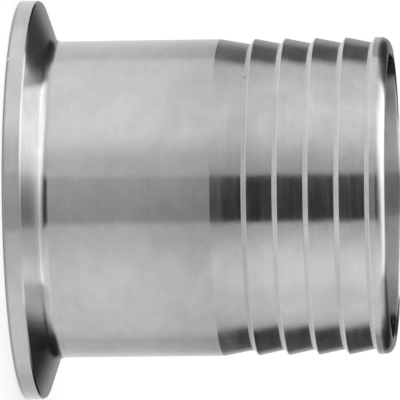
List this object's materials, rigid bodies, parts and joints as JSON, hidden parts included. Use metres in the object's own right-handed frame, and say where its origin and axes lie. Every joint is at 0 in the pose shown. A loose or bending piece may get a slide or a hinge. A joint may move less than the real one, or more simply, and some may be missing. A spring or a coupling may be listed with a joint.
{
  "type": "sanitary clamp ferrule with hose barb",
  "caption": "One-piece stainless ferrule: a sanitary clamp flange with a gasket groove at one end and a barbed tube for a hose at the other.",
  "frame": {"origin": "centre of the mating face, on the bore's axis", "axes": "+Z along the bore, from the mating face to the hose mouth; X and Y are any two directions across it"},
  "size_m": [0.064, 0.064, 0.0593],
  "materials": {
    "stainless": "fine turned and lightly polished stainless steel"
  },
  "bodies": {
    "root": {"ferrule": "stainless"}
  },
  "joints": []
}
